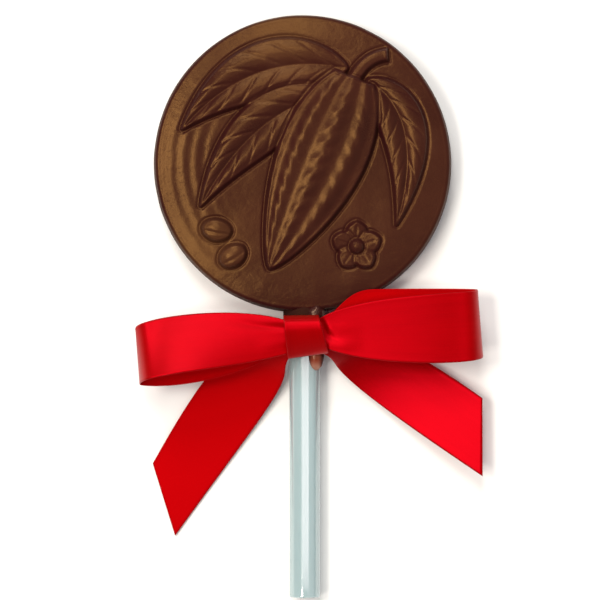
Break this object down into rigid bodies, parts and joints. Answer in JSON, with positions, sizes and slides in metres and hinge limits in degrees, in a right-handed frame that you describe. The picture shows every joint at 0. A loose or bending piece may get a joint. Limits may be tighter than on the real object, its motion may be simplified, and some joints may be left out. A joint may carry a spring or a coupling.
{
  "type": "lollipop",
  "caption": "Round moulded chocolate lollipop with a raised cocoa pod design, on a pale round stick tied with a wide satin ribbon bow, lying on its flat back.",
  "frame": {"origin": "centre of the round disc, on its flat back face", "axes": "+Z out of the moulded face, +Y away from the stick, +X to the right in the picture"},
  "size_m": [0.0836, 0.1405, 0.019],
  "materials": {
    "chocolate": "satin",
    "stick_plastic": "satin",
    "satin_ribbon": "satin"
  },
  "bodies": {
    "root": {"chocolate": "chocolate", "stick": "stick_plastic", "bow_loop_left": "satin_ribbon", "bow_loop_right": "satin_ribbon", "bow_tail_left": "satin_ribbon", "bow_tail_right": "satin_ribbon", "bow_knot": "satin_ribbon", "bow_turn": "satin_ribbon"}
  },
  "joints": []
}
